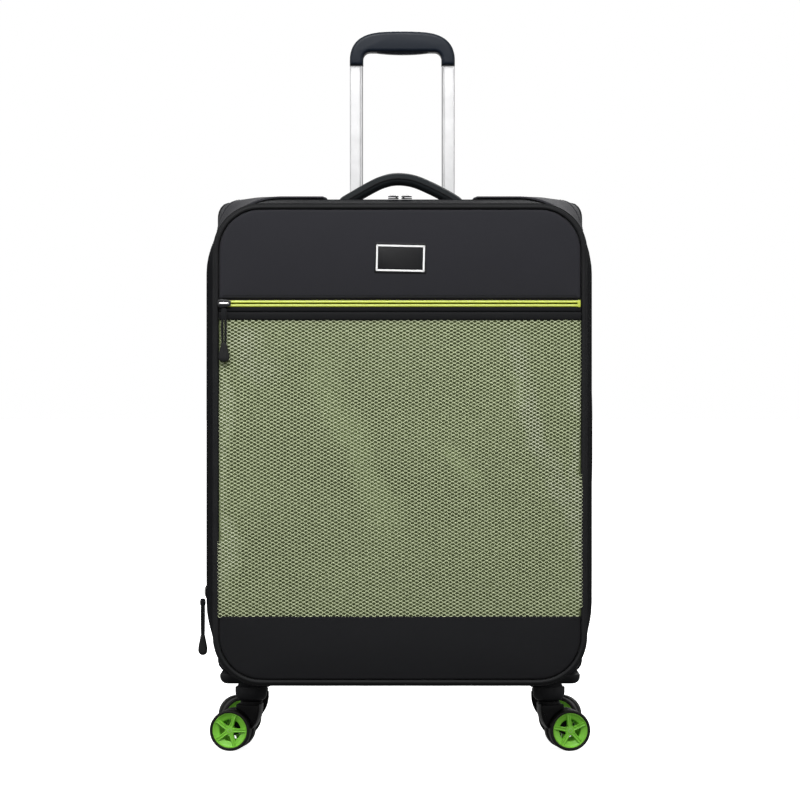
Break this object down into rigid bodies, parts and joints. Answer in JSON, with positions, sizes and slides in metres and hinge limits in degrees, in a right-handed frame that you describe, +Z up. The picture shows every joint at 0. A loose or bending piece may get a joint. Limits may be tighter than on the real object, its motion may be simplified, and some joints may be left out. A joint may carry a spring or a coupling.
{
  "type": "softside upright suitcase",
  "caption": "Fabric upright suitcase with a zipped front lid, telescoping trolley handle, carry handles and twin-wheel swivel casters.",
  "frame": {"origin": "on the floor, under the middle of the suitcase", "axes": "+Z up along the trolley; +Y towards the trolley's side, so the lid faces -Y; +X towards the lid's hinge"},
  "size_m": [0.4903, 0.2884, 0.8994],
  "materials": {
    "charcoal_fabric": "fine woven nylon twill, slight sheen",
    "sage_mesh": "open knitted mesh, pale threads over olive backing",
    "lime_zipper": "two bright coil rows on black tape",
    "zipper_tape": "black coil zipper",
    "piping": "fabric-covered cord, satin",
    "badge_plate": "black plate with a plain white frame line",
    "lining_fabric": "smooth polyester lining",
    "black_plastic": "fine moulded texture",
    "black_webbing": "padded fabric, stitched edges",
    "slate_grip": "satin soft-touch",
    "trigger_black": "satin",
    "slider_metal": "polished, lightly worn",
    "puller_rubber": "moulded rubber end on cord",
    "anodised_tube": "satin silver anodised",
    "fork_black": "satin moulded",
    "axle_steel": "plain",
    "tyre_black": "satin polyurethane",
    "hub_green": "bright moulded plastic"
  },
  "bodies": {
    "case": {"body_gusset": "charcoal_fabric", "back_panel": "charcoal_fabric", "base_plate": "black_plastic", "expander_zipper": "zipper_tape", "trolley_channel": "lining_fabric", "outer_tube_left": "anodised_tube", "outer_tube_right": "anodised_tube", "trolley_cup": "black_plastic", "trolley_foot": "black_plastic", "carry_handle": "black_webbing", "side_handle": "black_webbing", "front_housing_left": "black_plastic", "front_housing_right": "black_plastic", "rear_housing_left": "black_plastic", "rear_housing_right": "black_plastic"},
    "front_frame": {"front_band": "charcoal_fabric", "main_zipper": "zipper_tape"},
    "lid": {"lid_shell": "charcoal_fabric", "upper_panel": "charcoal_fabric", "mesh_panel": "sage_mesh", "lower_panel": "charcoal_fabric", "lid_piping": "piping", "pocket_zipper": "lime_zipper", "badge": "badge_plate"},
    "pocket_slider": {"pocket_slider": "slider_metal"},
    "pocket_puller": {"pocket_puller": "puller_rubber"},
    "main_slider_left": {"main_slider_left": "slider_metal"},
    "main_slider_right": {"main_slider_right": "slider_metal"},
    "expander_slider": {"expander_slider": "slider_metal"},
    "expander_puller": {"expander_puller": "puller_rubber"},
    "trolley_middle": {"middle_tube_left": "anodised_tube", "middle_tube_right": "anodised_tube"},
    "trolley_upper": {"upper_tube_left": "anodised_tube", "upper_tube_right": "anodised_tube", "grip": "slate_grip"},
    "trigger": {"trigger": "trigger_black"},
    "caster_front_left": {"fork_front_left": "fork_black", "axle_front_left": "axle_steel"},
    "wheel_front_left_a": {"tyre_front_left_a": "tyre_black", "hub_front_left_a": "hub_green"},
    "wheel_front_left_b": {"tyre_front_left_b": "tyre_black", "hub_front_left_b": "hub_green"},
    "caster_front_right": {"fork_front_right": "fork_black", "axle_front_right": "axle_steel"},
    "wheel_front_right_a": {"tyre_front_right_a": "tyre_black", "hub_front_right_a": "hub_green"},
    "wheel_front_right_b": {"tyre_front_right_b": "tyre_black", "hub_front_right_b": "hub_green"},
    "caster_rear_left": {"fork_rear_left": "fork_black", "axle_rear_left": "axle_steel"},
    "wheel_rear_left_a": {"tyre_rear_left_a": "tyre_black", "hub_rear_left_a": "hub_green"},
    "wheel_rear_left_b": {"tyre_rear_left_b": "tyre_black", "hub_rear_left_b": "hub_green"},
    "caster_rear_right": {"fork_rear_right": "fork_black", "axle_rear_right": "axle_steel"},
    "wheel_rear_right_a": {"tyre_rear_right_a": "tyre_black", "hub_rear_right_a": "hub_green"},
    "wheel_rear_right_b": {"tyre_rear_right_b": "tyre_black", "hub_rear_right_b": "hub_green"}
  },
  "joints": [
    {"name": "front_frame_expand", "type": "slide", "parent": "case", "child": "front_frame", "axis": [0, -1, 0], "range_m": [0, 0.04]},
    {"name": "lid_hinge", "type": "hinge", "parent": "front_frame", "child": "lid", "pos_m": [0.2358, -0.093, 0.376], "axis": [0, 0, 1], "range_deg": [0, 170]},
    {"name": "pocket_slider_run", "type": "slide", "parent": "lid", "child": "pocket_slider", "axis": [1, 0, 0], "range_m": [0, 0.415]},
    {"name": "pocket_puller_swing", "type": "hinge", "parent": "pocket_slider", "child": "pocket_puller", "pos_m": [-0.211, -0.1448, 0.5354], "axis": [-1, 0, 0], "range_deg": [0, 100]},
    {"name": "main_slider_left_run", "type": "slide", "parent": "front_frame", "child": "main_slider_left", "axis": [-1, 0, 0], "range_m": [0, 0.14]},
    {"name": "main_slider_right_run", "type": "slide", "parent": "front_frame", "child": "main_slider_right", "axis": [1, 0, 0], "range_m": [0, 0.14]},
    {"name": "expander_slider_run", "type": "slide", "parent": "case", "child": "expander_slider", "axis": [0, 0, 1], "range_m": [0, 0.38]},
    {"name": "expander_puller_swing", "type": "hinge", "parent": "expander_slider", "child": "expander_puller", "pos_m": [-0.2413, -0.068, 0.1825], "axis": [0, 1, 0], "range_deg": [0, 130]},
    {"name": "trolley_middle_slide", "type": "slide", "parent": "case", "child": "trolley_middle", "axis": [0, 0, 1], "range_m": [0, 0.19]},
    {"name": "trolley_upper_slide", "type": "slide", "parent": "trolley_middle", "child": "trolley_upper", "axis": [0, 0, 1], "range_m": [-0.203, 0]},
    {"name": "trigger_squeeze", "type": "slide", "parent": "trolley_upper", "child": "trigger", "axis": [0, 0, 1], "range_m": [0, 0.004], "stiffness_N_per_m": 800, "springref_m": -0.003},
    {"name": "swivel_front_left", "type": "hinge", "parent": "case", "child": "caster_front_left", "pos_m": [-0.182, -0.068, 0.06], "axis": [0, 0, 1], "continuous": true},
    {"name": "roll_front_left_a", "type": "hinge", "parent": "caster_front_left", "child": "wheel_front_left_a", "pos_m": [-0.20472, -0.0644, 0.025], "axis": [-0.1564, -0.9877, 0], "continuous": true},
    {"name": "roll_front_left_b", "type": "hinge", "parent": "caster_front_left", "child": "wheel_front_left_b", "pos_m": [-0.20472, -0.0644, 0.025], "axis": [-0.1564, -0.9877, 0], "continuous": true},
    {"name": "swivel_front_right", "type": "hinge", "parent": "case", "child": "caster_front_right", "pos_m": [0.182, -0.068, 0.06], "axis": [0, 0, 1], "continuous": true},
    {"name": "roll_front_right_a", "type": "hinge", "parent": "caster_front_right", "child": "wheel_front_right_a", "pos_m": [0.20472, -0.0644, 0.025], "axis": [-0.1564, 0.9877, 0], "continuous": true},
    {"name": "roll_front_right_b", "type": "hinge", "parent": "caster_front_right", "child": "wheel_front_right_b", "pos_m": [0.20472, -0.0644, 0.025], "axis": [-0.1564, 0.9877, 0], "continuous": true},
    {"name": "swivel_rear_left", "type": "hinge", "parent": "case", "child": "caster_rear_left", "pos_m": [-0.182, 0.098, 0.06], "axis": [0, 0, 1], "continuous": true},
    {"name": "roll_rear_left_a", "type": "hinge", "parent": "caster_rear_left", "child": "wheel_rear_left_a", "pos_m": [-0.2045, 0.09322, 0.025], "axis": [0.2079, -0.9781, 0], "continuous": true},
    {"name": "roll_rear_left_b", "type": "hinge", "parent": "caster_rear_left", "child": "wheel_rear_left_b", "pos_m": [-0.2045, 0.09322, 0.025], "axis": [0.2079, -0.9781, 0], "continuous": true},
    {"name": "swivel_rear_right", "type": "hinge", "parent": "case", "child": "caster_rear_right", "pos_m": [0.182, 0.098, 0.06], "axis": [0, 0, 1], "continuous": true},
    {"name": "roll_rear_right_a", "type": "hinge", "parent": "caster_rear_right", "child": "wheel_rear_right_a", "pos_m": [0.2045, 0.09322, 0.025], "axis": [0.2079, 0.9781, 0], "continuous": true},
    {"name": "roll_rear_right_b", "type": "hinge", "parent": "caster_rear_right", "child": "wheel_rear_right_b", "pos_m": [0.2045, 0.09322, 0.025], "axis": [0.2079, 0.9781, 0], "continuous": true}
  ]
}
